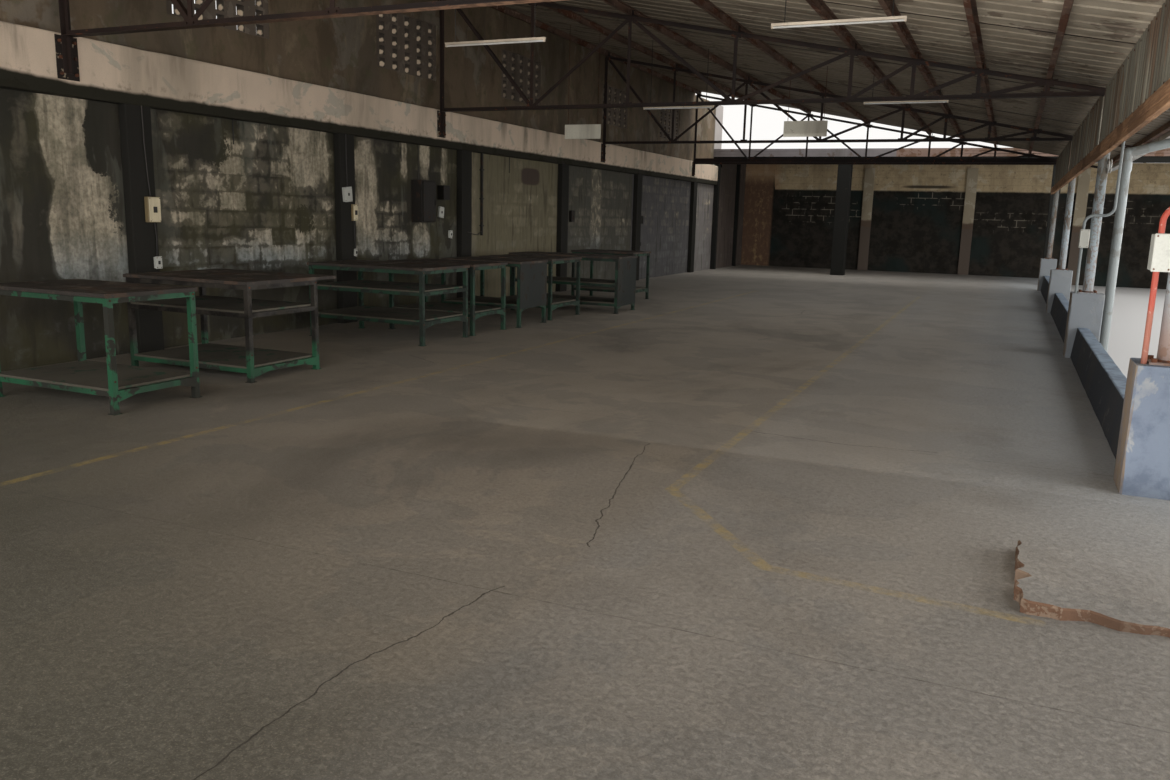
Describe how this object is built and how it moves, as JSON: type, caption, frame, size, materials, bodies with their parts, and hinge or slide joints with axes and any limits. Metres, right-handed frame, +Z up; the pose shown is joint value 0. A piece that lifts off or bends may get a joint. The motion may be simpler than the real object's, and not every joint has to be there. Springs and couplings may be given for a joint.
{
  "type": "open-sided factory hall",
  "caption": "Long open-sided factory hall: block wall with vents, steel trusses under a single-slope roof, posts on piers along the open side, and a low covered strip.",
  "frame": {"origin": "centre of the footprint's bounding box, on the ground", "axes": "+X from the block wall to the open side, +Y along the hall to the rear wall, +Z up"},
  "size_m": [13.4, 31.25, 5.0877],
  "materials": {
    "floor_concrete": "worn grey-brown concrete",
    "painted_block": "dark paint peeling from pale blocks",
    "pilaster_paint": "near-black paint",
    "ring_plaster": "cream plaster, stained",
    "upper_plaster": "brown-grey plaster",
    "vent_concrete": "cast concrete vent blocks",
    "rear_block": "yellow-grey blocks over dark paint",
    "rusty_steel": "dark paint with rust",
    "rusty_plate": "rusty plate",
    "purlin_steel": "red-brown primer with rust",
    "roof_sheet": "weathered pale sheet",
    "column_paint": "black paint on concrete",
    "fascia_sheet": "weathered grey sheet",
    "pier_concrete": "bare grey concrete",
    "post_paint": "peeling grey-blue paint",
    "kerb_paint": "black paint, bare grey top",
    "rail_timber": "orange-brown timber",
    "valance_sheet": "weathered grey-green sheet",
    "gutter_plastic": "pale grey plastic",
    "pipe_plastic": "pale grey plastic",
    "batten_white": "off-white enamel",
    "sign_board": "bare white board",
    "box_plastic": "pale plastic",
    "switch_paint": "dark painted steel",
    "bench_paint": "green paint",
    "conduit_red": "faded red plastic",
    "bench_panel": "dark green-grey paint",
    "bench_top": "dark worn sheet"
  },
  "bodies": {
    "root": {"floor_slab": "floor_concrete", "left_wall": "painted_block", "wall_pilasters": "pilaster_paint", "ring_beam": "ring_plaster", "upper_wall": "upper_plaster", "vent_blocks": "vent_concrete", "strip_side_wall": "painted_block", "rear_wall": "rear_block", "rear_pilasters": "rear_block", "truss_1": "rusty_steel", "truss_2": "rusty_steel", "truss_3": "rusty_steel", "truss_4": "rusty_steel", "truss_5": "rusty_steel", "truss_shoes": "rusty_plate", "end_beam": "rusty_steel", "purlins": "purlin_steel", "roof_sheets": "roof_sheet", "wall_plate": "upper_plaster", "strip_columns": "column_paint", "strip_beam": "column_paint", "strip_rafters": "purlin_steel", "strip_roof": "roof_sheet", "strip_fascia": "fascia_sheet", "piers": "pier_concrete", "posts": "post_paint", "kerbs": "kerb_paint", "eaves_rail": "rail_timber", "valance_sheets": "valance_sheet", "gutter": "gutter_plastic", "downpipe": "pipe_plastic", "entrance_pad": "pier_concrete", "light_battens": "batten_white", "sign_boards": "sign_board", "wall_boxes": "box_plastic", "switch_board": "switch_paint", "wall_conduit": "switch_paint", "post_box": "box_plastic", "post_conduits": "conduit_red", "bench_frames": "bench_paint", "bench_tops": "bench_top", "bench_shelves": "bench_paint", "bench_panels": "bench_panel"}
  },
  "joints": []
}
